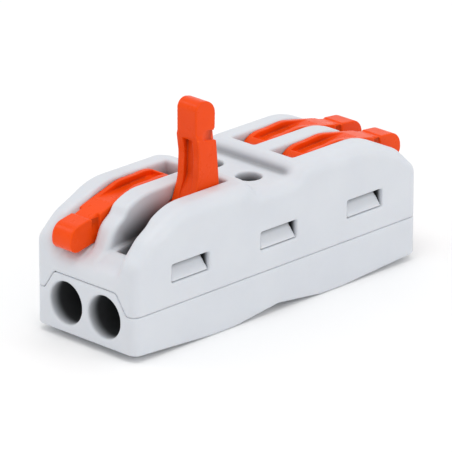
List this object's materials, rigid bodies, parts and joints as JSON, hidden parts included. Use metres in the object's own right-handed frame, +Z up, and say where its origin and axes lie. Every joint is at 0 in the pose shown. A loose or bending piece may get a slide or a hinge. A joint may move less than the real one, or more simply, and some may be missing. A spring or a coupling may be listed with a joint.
{
  "type": "lever wire connector",
  "caption": "Inline lever splice connector for electrical wires: a plastic housing with a wire entry for each pole at both ends, and a swinging lever that opens each spring clamp.",
  "frame": {"origin": "under the middle of the housing, at the level it rests on", "axes": "+X along the wires towards the rear entries, +Y towards the left pole, +Z up towards the levers"},
  "size_m": [0.0421, 0.0142, 0.0236],
  "materials": {
    "housing_plastic": "satin light grey",
    "lever_plastic": "satin orange",
    "tinned_copper": "tin plated copper",
    "spring_steel": "stainless spring strip"
  },
  "bodies": {
    "housing": {"base": "housing_plastic", "top_cover": "housing_plastic", "left_conductor_bar": "tinned_copper", "right_conductor_bar": "tinned_copper", "front_left_spring_bow": "spring_steel", "front_right_spring_bow": "spring_steel", "rear_left_spring_bow": "spring_steel", "rear_right_spring_bow": "spring_steel"},
    "front_left_lever": {"front_left_lever": "lever_plastic"},
    "front_left_jaw": {"front_left_spring_jaw": "spring_steel"},
    "front_right_lever": {"front_right_lever": "lever_plastic"},
    "front_right_jaw": {"front_right_spring_jaw": "spring_steel"},
    "rear_left_lever": {"rear_left_lever": "lever_plastic"},
    "rear_left_jaw": {"rear_left_spring_jaw": "spring_steel"},
    "rear_right_lever": {"rear_right_lever": "lever_plastic"},
    "rear_right_jaw": {"rear_right_spring_jaw": "spring_steel"}
  },
  "joints": [
    {"name": "front_left_lever_hinge", "type": "hinge", "parent": "housing", "child": "front_left_lever", "pos_m": [-0.009, 0.00272, 0.0116], "axis": [0, 1, 0], "range_deg": [0, 102]},
    {"name": "front_left_jaw_flex", "type": "hinge", "parent": "housing", "child": "front_left_jaw", "pos_m": [-0.005, 0.00272, 0.0077], "axis": [0, -1, 0], "range_deg": [0, 19.99]},
    {"name": "front_right_lever_hinge", "type": "hinge", "parent": "housing", "child": "front_right_lever", "pos_m": [-0.009, -0.00272, 0.0116], "axis": [0, 1, 0], "range_deg": [-102, 0]},
    {"name": "front_right_jaw_flex", "type": "hinge", "parent": "housing", "child": "front_right_jaw", "pos_m": [-0.005, -0.00272, 0.0077], "axis": [0, -1, 0], "range_deg": [-19.99, 0]},
    {"name": "rear_left_lever_hinge", "type": "hinge", "parent": "housing", "child": "rear_left_lever", "pos_m": [0.009, 0.00272, 0.0116], "axis": [0, -1, 0], "range_deg": [-5, 97]},
    {"name": "rear_left_jaw_flex", "type": "hinge", "parent": "housing", "child": "rear_left_jaw", "pos_m": [0.005, 0.00272, 0.0077], "axis": [0, 1, 0], "range_deg": [-0.98, 19.01]},
    {"name": "rear_right_lever_hinge", "type": "hinge", "parent": "housing", "child": "rear_right_lever", "pos_m": [0.009, -0.00272, 0.0116], "axis": [0, -1, 0], "range_deg": [-5, 97]},
    {"name": "rear_right_jaw_flex", "type": "hinge", "parent": "housing", "child": "rear_right_jaw", "pos_m": [0.005, -0.00272, 0.0077], "axis": [0, 1, 0], "range_deg": [-0.98, 19.01]}
  ],
  "couplings": [
    {"joint": "front_left_jaw_flex", "follows": "front_left_lever_hinge", "ratio": 0.196},
    {"joint": "front_right_jaw_flex", "follows": "front_right_lever_hinge", "ratio": 0.196},
    {"joint": "rear_left_jaw_flex", "follows": "rear_left_lever_hinge", "ratio": 0.196},
    {"joint": "rear_right_jaw_flex", "follows": "rear_right_lever_hinge", "ratio": 0.196}
  ]
}
